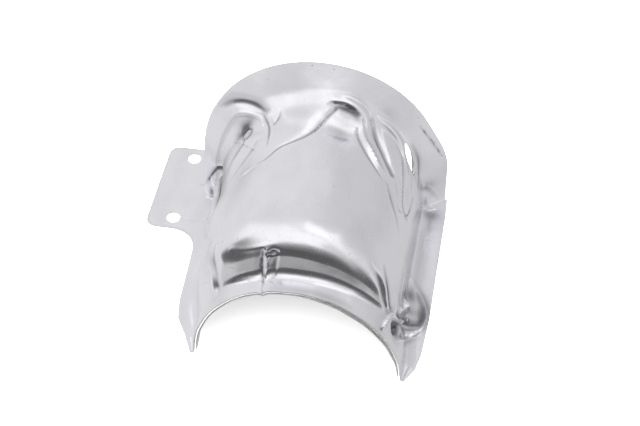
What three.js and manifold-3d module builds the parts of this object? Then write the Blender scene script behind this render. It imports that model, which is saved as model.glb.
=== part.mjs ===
// Pressed-sheet heat shield for an exhaust manifold: a half-pipe hood with a collar at the front,
// a raised crescent step behind it, a trumpet flare at the rear, flat flanges along both feet and
// a two-hole bolt tab. Three nested pieces: outer_skin, insulation_mat and inner_skin.
// Millimetres, +Z up, +Y towards the rear.

import * as THREE from 'three';
import { mergeVertices } from 'three/addons/utils/BufferGeometryUtils.js';
import Module from 'manifold-3d';

const wasm = await Module();
wasm.setup();

// ---------- driving dimensions ----------

// Layers, as depths below the outer face of the hood.
const OUTER_SKIN = { top: 0, bottom: 0.6 };
const INSULATION = { top: 0.9, bottom: 1.7 };
const INNER_SKIN = { top: 2.0, bottom: 2.5 };
const SHEET = OUTER_SKIN.bottom;

// Collar at the front: a half pipe whose axis is on the ground plane at x = 0.
const COLLAR_RADIUS = 63;
const COLLAR_LENGTH = 11;
const COLLAR_EDGE_BOW = 6;

// Step from the collar up to the hood: a concave fillet, a steep wall and a long rounded shoulder.
// Beyond STEP_ENDS, as shares of the arch, it fades into a plain slope from the collar to the hood.
const STEP_FILLET_RADIUS = 7;
const STEP_WALL_TILT = THREE.MathUtils.degToRad(74);
const STEP_WALL_RISE = 6.5;
const SHOULDER_LENGTH = 22;
const STEP_ENDS = { low: 0.215, high: 0.835, blend: 0.06 };

// Hood body: straight legs under a half ellipse. `corner` pushes the lower right of a section outwards.
const SHOULDER = { left: -67.5, right: 56.5, top: 87, leg: 18, foot: 11, corner: 0 };
const BODY = { left: -72.5, right: 56.5, top: 85, leg: 20, foot: 6, corner: 0 };
const BODY_Y = 75;
const BODY_REAR = { ...BODY, top: 82.5 };

// Flare: a concave fillet, then a straight conical brim.
const FLARE_ANGLE = THREE.MathUtils.degToRad(47);
const FLARE_NECK = { left: -78, right: 58.5, top: 94, leg: 25, foot: 8, corner: 1 };
const FLARE_RIM = { left: -88, right: 66, top: 106, leg: 30, foot: 0.8, corner: 5 };
const CORNER_START = 0.78;
const CORNER_END = 0.9;
const BRIM_LENGTH = 10.5;
const NECK_Y = 144;
const NECK_SKEW = 15;
const NECK_SKEW_POWER = 5;

// Flat flanges at the feet: [y, x] of their outer edges.
const LEFT_EDGE = [[0, -65], [12.5, -71], [25, -78.4], [39, -80.8], [84, -82.8], [120, -86], [140, -91.5]];
const RIGHT_EDGE = [
  [0, 64.7], [4.5, 66.9], [12.5, 70.5], [22, 72.3], [50, 73.6], [97, 73.2], [140, 73], [155, 72.3],
];
const LEAST_FLANGE = 0.5;
const TIP_FOOT_RADIUS = 1.2;
const FRONT_FOOT_RADIUS = 7;

// Bolt tab on the left flange.
const TAB = { outer: -118.4, front: 98, rear: 173, corner: 8, inner: -84, innerCorner: 3 };
const TAB_RELIEF_Y = 143;
const TAB_JOIN = { front: 120, rear: 139, overlap: 1 };
const BOLT_HOLE_RADIUS = 4.5;
const BOLT_HOLES = [[-101.5, 107.5], [-100.5, 163.5]];

// Lens-shaped relief slot through the right side of the hood, just in front of the flare.
const SLOT_ENDS = [[44.4, 139.3, 61.4], [53.3, 129.5, 39.9]];
const SLOT_OUTWARD = [0.8, -0.3, 0.45];
const SLOT_WIDTH = 6.4;
const SLOT_DEPTH = 20;

// Facet counts.
const FLANGE_SEGMENTS = 3;
const FOOT_SEGMENTS = 4;
const ARCH_SEGMENTS = 36;
const COLLAR_ROWS = 3;
const STEP_FILLET_ROWS = 4;
const STEP_WALL_ROWS = 1;
const SHOULDER_ROWS = 6;
const BODY_ROWS = 3;
const NECK_ROWS = 6;
const BRIM_ROWS = 2;
const TAB_CURVE_SEGMENTS = 10;
const SLOT_CURVE_SEGMENTS = 8;
const MERGE = 1e-4;

// ---------- small helpers ----------

const lerp = THREE.MathUtils.lerp;

// Piecewise-linear value at `at` in a list of [at, value] pairs.
function along(points, at) {
  for (let i = 1; i < points.length; i += 1) {
    const [a, va] = points[i - 1];
    const [b, vb] = points[i];
    if (at <= b) return lerp(va, vb, Math.max(0, (at - a) / (b - a)));
  }
  return points[points.length - 1][1];
}

// Section part of the way from a to b.
function mix(a, b, share) {
  return Object.fromEntries(Object.keys(a).map((key) => [key, lerp(a[key], b[key], share)]));
}

// Point of the arch at t, 0 at the left leg's foot and 1 at the right's: straight legs and a
// half ellipse.
function archPoint({ left, right, top, leg, foot, corner }, t) {
  const half = (right - left) / 2;
  const straight = Math.max(0, leg - foot);
  const total = 2 * straight + Math.PI * half;
  const run = t * total;
  const bulge = corner * THREE.MathUtils.smoothstep(t, CORNER_START, CORNER_END);
  if (run <= straight) return [left, foot + run];
  if (run >= total - straight) return [right + bulge, foot + total - run];
  const base = Math.max(leg, foot);
  const angle = (run - straight) / half;
  return [left + half - half * Math.cos(angle) + bulge, base + (top - base) * Math.sin(angle)];
}

// ---------- lengthwise stations ----------

const collar = { left: -COLLAR_RADIUS, right: COLLAR_RADIUS, top: COLLAR_RADIUS, leg: 0, corner: 0 };
const crownStep = SHOULDER.top - COLLAR_RADIUS;

// Foot radius of the collar, growing from its pointed tips to the hood's front.
const collarFoot = (y) => lerp(TIP_FOOT_RADIUS, FRONT_FOOT_RADIUS, Math.min(1, y / COLLAR_LENGTH));

// Length along y of the neck fillet at t, which is widest over the crown.
function neckFillet(t) {
  const side = FLARE_NECK.right - BODY.right;
  const crown = FLARE_NECK.top - BODY_REAR.top;
  const rise = lerp(side, crown, Math.sin(Math.PI * t) ** 2);
  return rise / (1 - Math.cos(FLARE_ANGLE)) * Math.sin(FLARE_ANGLE);
}

const neckY = (t) => NECK_Y - NECK_SKEW * (1 - t) ** NECK_SKEW_POWER;

// Each station has its cross-section and its y as a function of t. Those of the step also have
// the station of the slope that takes their place beyond the step's ends.
function makeStations() {
  const stations = [];
  const add = (section, y, beyond) => stations.push({ section, y, beyond });
  const steps = (count, action) => {
    for (let i = 1; i <= count; i += 1) action(i / count);
  };
  const collarAt = (share) => {
    const y = COLLAR_LENGTH * share;
    const bow = (t) => COLLAR_EDGE_BOW * (1 - t) * Math.sin(Math.PI * t) * (1 - share);
    add({ ...collar, foot: collarFoot(y) }, (t) => y + bow(t));
  };
  collarAt(0);
  steps(COLLAR_ROWS, collarAt);

  const stepFront = { ...collar, foot: FRONT_FOOT_RADIUS };
  const filletEnd = COLLAR_LENGTH + STEP_FILLET_RADIUS * Math.sin(STEP_WALL_TILT);
  const wallEnd = filletEnd + STEP_WALL_RISE / Math.tan(STEP_WALL_TILT);
  const wallTop = STEP_FILLET_RADIUS * (1 - Math.cos(STEP_WALL_TILT)) + STEP_WALL_RISE;
  const shoulderEnd = wallEnd + SHOULDER_LENGTH;
  const stepRows = STEP_FILLET_ROWS + STEP_WALL_ROWS + SHOULDER_ROWS;
  let stepRow = 0;
  const addStep = (y, rise) => {
    stepRow += 1;
    const share = stepRow / stepRows;
    const beyond = {
      section: mix(stepFront, SHOULDER, THREE.MathUtils.smoothstep(share, 0, 1)),
      y: () => lerp(COLLAR_LENGTH, shoulderEnd, share),
    };
    add(mix(stepFront, SHOULDER, rise / crownStep), () => y, beyond);
  };
  steps(STEP_FILLET_ROWS, (share) => {
    const tilt = STEP_WALL_TILT * share;
    const y = COLLAR_LENGTH + STEP_FILLET_RADIUS * Math.sin(tilt);
    addStep(y, STEP_FILLET_RADIUS * (1 - Math.cos(tilt)));
  });
  addStep(wallEnd, wallTop);
  steps(SHOULDER_ROWS, (share) => {
    const tilt = STEP_WALL_TILT * (1 - share);
    const back = 1 - Math.sin(tilt) / Math.sin(STEP_WALL_TILT);
    const up = 1 - (1 - Math.cos(tilt)) / (1 - Math.cos(STEP_WALL_TILT));
    addStep(wallEnd + SHOULDER_LENGTH * back, wallTop + (crownStep - wallTop) * up);
  });

  steps(BODY_ROWS, (share) => add(mix(SHOULDER, BODY, share), () => lerp(shoulderEnd, BODY_Y, share)));
  steps(BODY_ROWS, (share) => {
    const end = (t) => neckY(t) - neckFillet(t);
    add(mix(BODY, BODY_REAR, share), (t) => lerp(BODY_Y, end(t), share));
  });
  steps(NECK_ROWS, (share) => {
    const out = (1 - Math.cos(FLARE_ANGLE * share)) / (1 - Math.cos(FLARE_ANGLE));
    const back = 1 - Math.sin(FLARE_ANGLE * share) / Math.sin(FLARE_ANGLE);
    add(mix(BODY_REAR, FLARE_NECK, out), (t) => neckY(t) - neckFillet(t) * back);
  });
  const neckIndex = stations.length - 1;
  steps(BRIM_ROWS, (share) => add(mix(FLARE_NECK, FLARE_RIM, share), (t) => neckY(t) + BRIM_LENGTH * share));
  return { stations, neckIndex };
}

const { stations, neckIndex } = makeStations();

// ---------- outer face of the hood ----------

// One row of points across a station: left flange, left foot fillet, arch, right foot fillet and
// right flange.
function plainRow({ section, y }) {
  const row = [];
  const { left, foot } = section;
  const right = section.right + section.corner;
  const yLeft = y(0);
  const yRight = y(1);
  const leftEdge = Math.min(along(LEFT_EDGE, yLeft), left - foot - LEAST_FLANGE);
  const rightEdge = Math.max(along(RIGHT_EDGE, yRight), right + foot + LEAST_FLANGE);
  for (let i = 0; i < FLANGE_SEGMENTS; i += 1) {
    row.push([lerp(leftEdge, left - foot, i / FLANGE_SEGMENTS), yLeft, SHEET]);
  }
  for (let i = 0; i < FOOT_SEGMENTS; i += 1) {
    const a = (i / FOOT_SEGMENTS) * Math.PI / 2;
    row.push([left - foot + foot * Math.sin(a), yLeft, SHEET + foot * (1 - Math.cos(a))]);
  }
  for (let i = 0; i <= ARCH_SEGMENTS; i += 1) {
    const t = i / ARCH_SEGMENTS;
    const [x, z] = archPoint(section, t);
    row.push([x, y(t), SHEET + z]);
  }
  for (let i = FOOT_SEGMENTS - 1; i >= 0; i -= 1) {
    const a = (i / FOOT_SEGMENTS) * Math.PI / 2;
    row.push([right + foot - foot * Math.sin(a), yRight, SHEET + foot * (1 - Math.cos(a))]);
  }
  for (let i = FLANGE_SEGMENTS - 1; i >= 0; i -= 1) {
    row.push([lerp(rightEdge, right + foot, i / FLANGE_SEGMENTS), yRight, SHEET]);
  }
  return row.map((p) => new THREE.Vector3(...p));
}

// 0 along the step and 1 beyond its ends.
function pastStep(t) {
  const { low, high, blend } = STEP_ENDS;
  const begun = THREE.MathUtils.smoothstep(t, low - blend, low + blend);
  return 1 - begun * (1 - THREE.MathUtils.smoothstep(t, high - blend, high + blend));
}

function stationRow(station) {
  const row = plainRow(station);
  if (!station.beyond) return row;
  const slope = plainRow(station.beyond);
  const firstArch = FLANGE_SEGMENTS + FOOT_SEGMENTS;
  const share = (column) => pastStep((column - firstArch) / ARCH_SEGMENTS);
  return row.map((point, column) => point.lerp(slope[column], share(column)));
}

const face = stations.map(stationRow);
const lastColumn = face[0].length - 1;

// Outward normal at a grid point, straight up on the flat flanges.
function normalAt(row, column) {
  if (column <= FLANGE_SEGMENTS || column >= lastColumn - FLANGE_SEGMENTS) return new THREE.Vector3(0, 0, 1);
  const clampRow = (r) => THREE.MathUtils.clamp(r, 0, face.length - 1);
  const across = face[row][column + 1].clone().sub(face[row][column - 1]);
  const lengthwise = face[clampRow(row + 1)][column].clone().sub(face[clampRow(row - 1)][column]);
  return across.cross(lengthwise).normalize();
}

const normals = face.map((points, row) => points.map((_, column) => normalAt(row, column)));

// Closed sheet between two depths below the outer face, over a range of rows and columns.
function sheetGeometry({ top, bottom }, rows, columns) {
  const positions = [];
  const pointAt = (row, column, depth) => {
    return face[row][column].clone().addScaledVector(normals[row][column], -depth);
  };
  const triangle = (...points) => points.forEach((p) => positions.push(p.x, p.y, p.z));
  const quad = (a, b, c, d) => {
    triangle(a, b, c);
    triangle(a, c, d);
  };
  const [r0, r1] = rows;
  const [c0, c1] = columns;
  for (let r = r0; r < r1; r += 1) {
    for (let c = c0; c < c1; c += 1) {
      const corners = [[r, c], [r, c + 1], [r + 1, c + 1], [r + 1, c]];
      quad(...corners.map(([i, j]) => pointAt(i, j, top)));
      quad(...corners.map(([i, j]) => pointAt(i, j, bottom)).reverse());
    }
  }
  const rim = (from, to) => {
    const [a, b] = [from, to].map(([i, j]) => pointAt(i, j, top));
    const [d, c] = [from, to].map(([i, j]) => pointAt(i, j, bottom));
    quad(b, a, d, c);
  };
  for (let c = c0; c < c1; c += 1) {
    rim([r0, c], [r0, c + 1]);
    rim([r1, c + 1], [r1, c]);
  }
  for (let r = r0; r < r1; r += 1) {
    rim([r + 1, c0], [r, c0]);
    rim([r, c1], [r + 1, c1]);
  }
  const geometry = new THREE.BufferGeometry();
  geometry.setAttribute('position', new THREE.Float32BufferAttribute(positions, 3));
  return mergeVertices(geometry, MERGE);
}

// ---------- booleans ----------

function toSolid(source) {
  const geometry = source.clone();
  geometry.deleteAttribute('normal');
  geometry.deleteAttribute('uv');
  const merged = mergeVertices(geometry, MERGE);
  const vertProperties = new Float32Array(merged.attributes.position.array);
  const triVerts = new Uint32Array(merged.index.array);
  return new wasm.Manifold(new wasm.Mesh({ numProp: 3, vertProperties, triVerts }));
}

function toGeometry(solid) {
  const mesh = solid.getMesh();
  const geometry = new THREE.BufferGeometry();
  geometry.setAttribute('position', new THREE.BufferAttribute(mesh.vertProperties, 3));
  geometry.setIndex(new THREE.BufferAttribute(mesh.triVerts, 1));
  return geometry;
}

// ---------- bolt tab ----------

// Plan outline of the tab: a concave fillet off the flange, rounded outer corners and a square relief
// at the foot of the flare. Its inner edge overlaps the flange so that the two join.
function tabShape() {
  const { outer, front, rear, corner, inner, innerCorner } = TAB;
  const overlap = TAB_JOIN.overlap;
  const filletStart = front - 2 * corner;
  const flange = along(LEFT_EDGE, front - corner);
  const shape = new THREE.Shape();
  shape.moveTo(flange + overlap, filletStart);
  shape.lineTo(flange, filletStart);
  shape.quadraticCurveTo(flange - corner / 4, front - corner / 4, flange - 2 * corner, front);
  shape.lineTo(outer + corner, front);
  shape.quadraticCurveTo(outer, front, outer, front + corner);
  shape.lineTo(outer, rear - corner);
  shape.quadraticCurveTo(outer, rear, outer + corner, rear);
  shape.lineTo(inner - innerCorner, rear);
  shape.quadraticCurveTo(inner, rear, inner, rear - innerCorner);
  shape.lineTo(inner, TAB_RELIEF_Y);
  shape.lineTo(along(LEFT_EDGE, TAB_RELIEF_Y), TAB_RELIEF_Y);
  shape.lineTo(along(LEFT_EDGE, TAB_JOIN.rear) + overlap, TAB_JOIN.rear);
  shape.lineTo(along(LEFT_EDGE, TAB_JOIN.front) + overlap, TAB_JOIN.front);
  shape.closePath();
  BOLT_HOLES.forEach(([x, y]) => {
    const hole = new THREE.Path();
    hole.absarc(x, y, BOLT_HOLE_RADIUS, 0, 2 * Math.PI, false);
    shape.holes.push(hole);
  });
  return shape;
}

const tabExtrude = { depth: SHEET, bevelEnabled: false, curveSegments: TAB_CURVE_SEGMENTS };
const tabGeometry = new THREE.ExtrudeGeometry(tabShape(), tabExtrude);

// ---------- relief slot ----------

// A lens-shaped prism, pointing out of the side of the flare.
function slotGeometry() {
  const [from, to] = SLOT_ENDS.map((point) => new THREE.Vector3(...point));
  const length = from.distanceTo(to);
  const lens = new THREE.Shape();
  lens.moveTo(-length / 2, 0);
  lens.quadraticCurveTo(0, SLOT_WIDTH, length / 2, 0);
  lens.quadraticCurveTo(0, -SLOT_WIDTH, -length / 2, 0);
  const extrude = { depth: SLOT_DEPTH, bevelEnabled: false, curveSegments: SLOT_CURVE_SEGMENTS };
  const geometry = new THREE.ExtrudeGeometry(lens, extrude);
  geometry.translate(0, 0, -SLOT_DEPTH / 2);
  const lengthwise = to.clone().sub(from).normalize();
  const out = new THREE.Vector3(...SLOT_OUTWARD);
  out.addScaledVector(lengthwise, -out.dot(lengthwise)).normalize();
  const across = new THREE.Vector3().crossVectors(out, lengthwise);
  geometry.applyMatrix4(new THREE.Matrix4().makeBasis(lengthwise, across, out));
  geometry.translate(...from.add(to).multiplyScalar(0.5));
  return geometry;
}

// ---------- pieces ----------

const allRows = [0, face.length - 1];
const allColumns = [0, lastColumn];
const aboveFoot = FLANGE_SEGMENTS + FOOT_SEGMENTS + 1;
const archColumns = [aboveFoot, lastColumn - aboveFoot];
const slot = toSolid(slotGeometry());
const withSlot = (solid) => toGeometry(solid.subtract(slot));

const hood = toSolid(sheetGeometry(OUTER_SKIN, allRows, allColumns));
const mat = toSolid(sheetGeometry(INSULATION, [1, neckIndex], archColumns));
const liner = toSolid(sheetGeometry(INNER_SKIN, [0, neckIndex], archColumns));

const bright = new THREE.MeshStandardMaterial({ color: 0xd3d4d8, roughness: 0.3, metalness: 1 });
const dull = new THREE.MeshStandardMaterial({ color: 0xb9babd, roughness: 0.45, metalness: 1 });
const fibre = new THREE.MeshStandardMaterial({ color: 0xcfc8b8, roughness: 0.95, metalness: 0 });

const shield = new THREE.Group();
const pieces = [
  ['outer_skin', withSlot(hood.add(toSolid(tabGeometry))), bright],
  ['insulation_mat', withSlot(mat), fibre],
  ['inner_skin', withSlot(liner), dull],
];
pieces.forEach(([name, geometry, material]) => {
  const mesh = new THREE.Mesh(geometry, material);
  mesh.name = name;
  shield.add(mesh);
});

// The part's origin is under the middle of its bounding box, on the plane it rests on.
const box = new THREE.Box3().setFromObject(shield);
const middle = box.getCenter(new THREE.Vector3());
shield.position.set(-middle.x, -middle.y, 0);

export default shield;
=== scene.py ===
"""Looks of a pressed-sheet exhaust manifold heat shield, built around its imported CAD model."""
import math
from functools import partial

import bpy
import numpy as np
from mathutils import Matrix, Vector
from mathutils.geometry import delaunay_2d_cdt


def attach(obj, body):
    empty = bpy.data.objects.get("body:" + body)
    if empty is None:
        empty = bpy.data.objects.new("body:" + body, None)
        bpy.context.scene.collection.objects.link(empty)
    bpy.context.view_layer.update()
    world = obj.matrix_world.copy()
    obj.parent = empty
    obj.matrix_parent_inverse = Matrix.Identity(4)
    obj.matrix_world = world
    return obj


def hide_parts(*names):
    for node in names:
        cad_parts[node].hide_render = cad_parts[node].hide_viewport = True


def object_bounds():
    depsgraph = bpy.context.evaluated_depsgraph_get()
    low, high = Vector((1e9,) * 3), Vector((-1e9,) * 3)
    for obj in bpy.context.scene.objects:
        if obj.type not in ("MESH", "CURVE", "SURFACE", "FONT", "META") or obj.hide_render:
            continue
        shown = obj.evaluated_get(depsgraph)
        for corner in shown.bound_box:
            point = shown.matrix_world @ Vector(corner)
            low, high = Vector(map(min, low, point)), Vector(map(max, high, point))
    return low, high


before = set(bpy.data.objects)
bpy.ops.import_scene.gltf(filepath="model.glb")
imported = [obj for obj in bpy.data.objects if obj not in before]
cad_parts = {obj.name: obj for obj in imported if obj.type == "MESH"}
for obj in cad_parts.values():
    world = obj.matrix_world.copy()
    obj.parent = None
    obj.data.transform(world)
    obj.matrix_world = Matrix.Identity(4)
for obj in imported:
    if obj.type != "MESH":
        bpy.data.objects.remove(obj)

cad_low, cad_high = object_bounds()
MM = 0.001

# ---------- driving dimensions, in millimetres, in the design frame ----------
# The design frame's origin is on the floor in the middle of the collar's mouth, +X right, +Y to the rear.
# Depths are measured from the outer face inwards.

OUTER = (0.0, 0.6)
MAT = (0.9, 1.7)
INNER = (2.0, 2.5)
SHEET = OUTER[1]

COLLAR_RADIUS = 63.0
COLLAR_LENGTH = 11.0
COLLAR_EDGE_BOW = 6.0
STEP_FILLET_RADIUS = 7.0
STEP_WALL_TILT = math.radians(74)
STEP_WALL_RISE = 6.5
SHOULDER_LENGTH = 22.0
STEP_ENDS = (0.215, 0.835)
STEP_END_BLEND = 0.05

SHOULDER = dict(left=-67.5, right=56.5, top=87.0, leg=18.0, foot=11.0, corner=0.0)
BODY = dict(left=-72.5, right=56.5, top=85.0, leg=20.0, foot=6.0, corner=0.0)
BODY_Y = 75.0
BODY_REAR = dict(BODY, top=82.5)

FLARE_ANGLE = math.radians(47)
FLARE_NECK = dict(left=-78.0, right=58.5, top=94.0, leg=25.0, foot=8.0, corner=1.0)
FLARE_RIM = dict(left=-88.0, right=66.0, top=106.0, leg=30.0, foot=0.8, corner=5.0)
CORNER_START = 0.78
CORNER_END = 0.90
BRIM_LENGTH = 10.5
NECK_Y = 144.0
NECK_SKEW = 15.0
NECK_SKEW_POWER = 5

LEFT_EDGE = [(0, -65), (12.5, -71), (25, -78.4), (39, -80.8), (84, -82.8), (120, -86), (140, -91.5)]
RIGHT_EDGE = [(0, 64.7), (4.5, 66.9), (12.5, 70.5), (22, 72.3), (50, 73.6), (97, 73.2), (140, 73),
              (155, 72.3)]
LEAST_FLANGE = 0.5
TIP_FOOT_RADIUS = 1.2
FRONT_FOOT_RADIUS = 7.0

TAB = dict(outer=-118.4, front=98.0, rear=173.0, corner=8.0, inner=-84.0, inner_corner=3.0)
TAB_RELIEF_Y = 143.0
BOLT_HOLE_RADIUS = 4.5
BOLT_HOLES = [(-101.5, 107.5), (-100.5, 163.5)]

# Rows along the hood and columns across it.
COLLAR_ROWS = 16
STEP_FILLET_ROWS = 12
STEP_WALL_ROWS = 10
SHOULDER_ROWS = 28
BODY_FRONT_ROWS = 44
BODY_REAR_ROWS = 64
NECK_ROWS = 30
BRIM_ROWS = 16
FLANGE_COLUMNS = 12
FOOT_COLUMNS = 8
ARCH_COLUMNS = 296
FIRST_ARCH = FLANGE_COLUMNS + FOOT_COLUMNS
LAST_ARCH = FIRST_ARCH + ARCH_COLUMNS
COLUMNS = LAST_ARCH + FIRST_ARCH + 1
STEP_ROWS = STEP_FILLET_ROWS + STEP_WALL_ROWS + SHOULDER_ROWS

OFFSET = np.array([cad_low.x / MM - TAB["outer"], cad_low.y / MM, 0.0])


def to_row(points):
    """Design-frame millimetres to row-frame metres."""
    return (np.asarray(points, float) + OFFSET) * MM


# ---------- sections and stations ----------

def smoothstep(x, low, high):
    """0 up to low, 1 from high on, and smooth between."""
    s = np.clip((x - low) / (high - low), 0, 1)
    return s * s * (3 - 2 * s)


def mix(a, b, share):
    return {key: a[key] + (b[key] - a[key]) * share for key in a}


def arch_points(section, t):
    """x and z of the arch at each t, 0 at the left leg's foot and 1 at the right's."""
    left, right, top, leg, foot = (section[k] for k in ("left", "right", "top", "leg", "foot"))
    half = (right - left) / 2
    straight = max(0.0, leg - foot)
    total = 2 * straight + math.pi * half
    run = t * total
    base = max(leg, foot)
    angle = np.clip((run - straight) / half, 0, math.pi)
    x = left + half - half * np.cos(angle)
    z = base + (top - base) * np.sin(angle)
    z = np.where(run < straight, foot + run, z)
    z = np.where(run > total - straight, foot + total - run, z)
    return x + section["corner"] * smoothstep(t, CORNER_START, CORNER_END), z


def neck_y(t):
    return NECK_Y - NECK_SKEW * (1 - t) ** NECK_SKEW_POWER


def neck_fillet(t):
    """Length of the concave fillet before the brim, longest over the crown."""
    side = FLARE_NECK["right"] - BODY["right"]
    crown = FLARE_NECK["top"] - BODY_REAR["top"]
    rise = side + (crown - side) * np.sin(math.pi * t) ** 2
    return rise / (1 - math.cos(FLARE_ANGLE)) * math.sin(FLARE_ANGLE)


def shares(count):
    return [i / count for i in range(1, count + 1)]


def make_stations():
    """(section, y as a function of t) for each row, from the collar's edge to the flare's rim."""
    stations = []
    collar = dict(left=-COLLAR_RADIUS, right=COLLAR_RADIUS, top=COLLAR_RADIUS, leg=0.0, corner=0.0)
    step_height = SHOULDER["top"] - COLLAR_RADIUS

    def collar_at(share):
        y = COLLAR_LENGTH * share
        foot = TIP_FOOT_RADIUS + (FRONT_FOOT_RADIUS - TIP_FOOT_RADIUS) * share
        bow = COLLAR_EDGE_BOW * (1 - share)
        stations.append((dict(collar, foot=foot), lambda t: y + bow * (1 - t) * np.sin(math.pi * t)))

    def step_section(rise):
        return mix(dict(collar, foot=FRONT_FOOT_RADIUS), SHOULDER, rise / step_height)

    def step_at(y, rise):
        """A row of the step, which beyond its two ends turns into a plain slope from collar to body."""
        nonlocal step_row
        step_row += 1
        share = step_row / STEP_ROWS
        slope_y = COLLAR_LENGTH + (shoulder_end - COLLAR_LENGTH) * share
        slope = (step_section(step_height * float(smoothstep(share, 0, 1))), lambda t: slope_y + 0 * t)
        stations.append((step_section(rise), lambda t: y + 0 * t, slope))

    wall_y = COLLAR_LENGTH + STEP_FILLET_RADIUS * math.sin(STEP_WALL_TILT)
    wall_rise = STEP_FILLET_RADIUS * (1 - math.cos(STEP_WALL_TILT))
    crest_y = wall_y + STEP_WALL_RISE / math.tan(STEP_WALL_TILT)
    crest_rise = wall_rise + STEP_WALL_RISE
    shoulder_end = crest_y + SHOULDER_LENGTH
    step_row = 0
    for share in [0.0] + shares(COLLAR_ROWS):
        collar_at(share)
    for share in shares(STEP_FILLET_ROWS):
        tilt = STEP_WALL_TILT * share
        up = STEP_FILLET_RADIUS * (1 - math.cos(tilt))
        step_at(COLLAR_LENGTH + STEP_FILLET_RADIUS * math.sin(tilt), up)
    for share in shares(STEP_WALL_ROWS):
        up = STEP_WALL_RISE * share
        step_at(wall_y + up / math.tan(STEP_WALL_TILT), wall_rise + up)
    for share in shares(SHOULDER_ROWS):
        tilt = STEP_WALL_TILT * (1 - share)
        back = 1 - math.sin(tilt) / math.sin(STEP_WALL_TILT)
        up = 1 - (1 - math.cos(tilt)) / (1 - math.cos(STEP_WALL_TILT))
        step_at(crest_y + SHOULDER_LENGTH * back, crest_rise + (step_height - crest_rise) * up)

    def add(section, y):
        stations.append((section, y))

    for share in shares(BODY_FRONT_ROWS):
        y = shoulder_end + (BODY_Y - shoulder_end) * share
        add(mix(SHOULDER, BODY, share), lambda t, y=y: y + 0 * t)
    for share in shares(BODY_REAR_ROWS):
        add(mix(BODY, BODY_REAR, share),
            lambda t, s=share: BODY_Y + (neck_y(t) - neck_fillet(t) - BODY_Y) * s)
    for share in shares(NECK_ROWS):
        out = (1 - math.cos(FLARE_ANGLE * share)) / (1 - math.cos(FLARE_ANGLE))
        back = 1 - math.sin(FLARE_ANGLE * share) / math.sin(FLARE_ANGLE)
        add(mix(BODY_REAR, FLARE_NECK, out), lambda t, b=back: neck_y(t) - neck_fillet(t) * b)
    neck_row = len(stations) - 1
    for share in shares(BRIM_ROWS):
        add(mix(FLARE_NECK, FLARE_RIM, share), lambda t, s=share: neck_y(t) + BRIM_LENGTH * s)
    return stations, neck_row


def edge_at(points, y):
    ys, xs = zip(*points)
    return float(np.interp(y, ys, xs))


def step_end_share(t):
    """0 along the step and 1 beyond its ends."""
    low, high = STEP_ENDS
    return 1 - smoothstep(t, low - STEP_END_BLEND, low + STEP_END_BLEND) * (
        1 - smoothstep(t, high - STEP_END_BLEND, high + STEP_END_BLEND))


def station_row(section, y_of, beyond=None):
    """Points of one row: left flange, left foot fillet, arch, right foot fillet, right flange."""
    if beyond:
        t = (np.arange(COLUMNS) - FIRST_ARCH) / ARCH_COLUMNS
        share = step_end_share(np.clip(t, 0, 1))[:, None]
        return station_row(section, y_of) * (1 - share) + station_row(*beyond) * share
    left, right, foot = section["left"], section["right"] + section["corner"], section["foot"]
    y_left = float(y_of(np.array(0.0)))
    y_right = float(y_of(np.array(1.0)))
    left_foot, right_foot = left - foot, right + foot
    left_edge = min(edge_at(LEFT_EDGE, y_left), left_foot - LEAST_FLANGE)
    right_edge = max(edge_at(RIGHT_EDGE, y_right), right_foot + LEAST_FLANGE)
    flange = np.arange(FLANGE_COLUMNS) / FLANGE_COLUMNS
    bend = np.arange(FOOT_COLUMNS) / FOOT_COLUMNS * math.pi / 2
    t = np.arange(ARCH_COLUMNS + 1) / ARCH_COLUMNS
    arch_x, arch_z = arch_points(section, t)
    inwards = foot * np.sin(bend)
    left_x = np.concatenate([left_edge + (left_foot - left_edge) * flange, left_foot + inwards])
    right_x = np.concatenate([right_edge + (right_foot - right_edge) * flange, right_foot - inwards])
    foot_z = np.concatenate([0 * flange, foot * (1 - np.cos(bend))])
    x = np.concatenate([left_x, arch_x, right_x[::-1]])
    z = np.concatenate([foot_z, arch_z, foot_z[::-1]]) + SHEET
    y = np.concatenate([0 * left_x + y_left, y_of(t), 0 * right_x + y_right])
    return np.stack([x, y, z], -1)


stations, neck_row = make_stations()
face = np.array([station_row(*station) for station in stations])
ROWS = len(face)

# The lip is not quite even: a small V where the seam meets it, and a slight wave, both fading at the feet.
LIP_SEAM_T = 0.397
LIP_NOTCH_DEPTH = 1.3
LIP_NOTCH_WIDTH = 0.010
LIP_WAVE = 0.25
LIP_WAVE_TURNS = (38, 17)
LIP_ENDS = (0.02, 0.10)
LIP_FADE_ROWS = 0.6 * COLLAR_ROWS
arch_t = (np.arange(COLUMNS) - FIRST_ARCH) / ARCH_COLUMNS
lip_shift = LIP_WAVE * np.sin(arch_t * LIP_WAVE_TURNS[0]) * np.sin(arch_t * LIP_WAVE_TURNS[1])
lip_shift -= LIP_NOTCH_DEPTH * np.exp(-((arch_t - LIP_SEAM_T) / LIP_NOTCH_WIDTH) ** 2)
lip_shift *= smoothstep(arch_t, *LIP_ENDS) * smoothstep(1 - arch_t, *LIP_ENDS)
lip_fade = np.clip(1 - np.arange(ROWS) / LIP_FADE_ROWS, 0, 1)
face[..., 1] += lip_fade[:, None] * lip_shift


def grid_normals(points):
    n = np.cross(np.gradient(points, axis=1), np.gradient(points, axis=0))
    return n / np.linalg.norm(n, axis=-1, keepdims=True)


smooth_normals = grid_normals(face)

# ---------- pressed-in features ----------
# Each feature moves the sheet along its smooth normal. Places are (t, y): t runs round the arch from the left
# foot to the right one, y along the hood in millimetres. Heights are in millimetres, outwards positive.

height = np.zeros((ROWS, COLUMNS))
LINE_REACH = 4.0
BLOCK = 4000
RING_ANGLES = np.arange(0, 6.5, 0.7)


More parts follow.
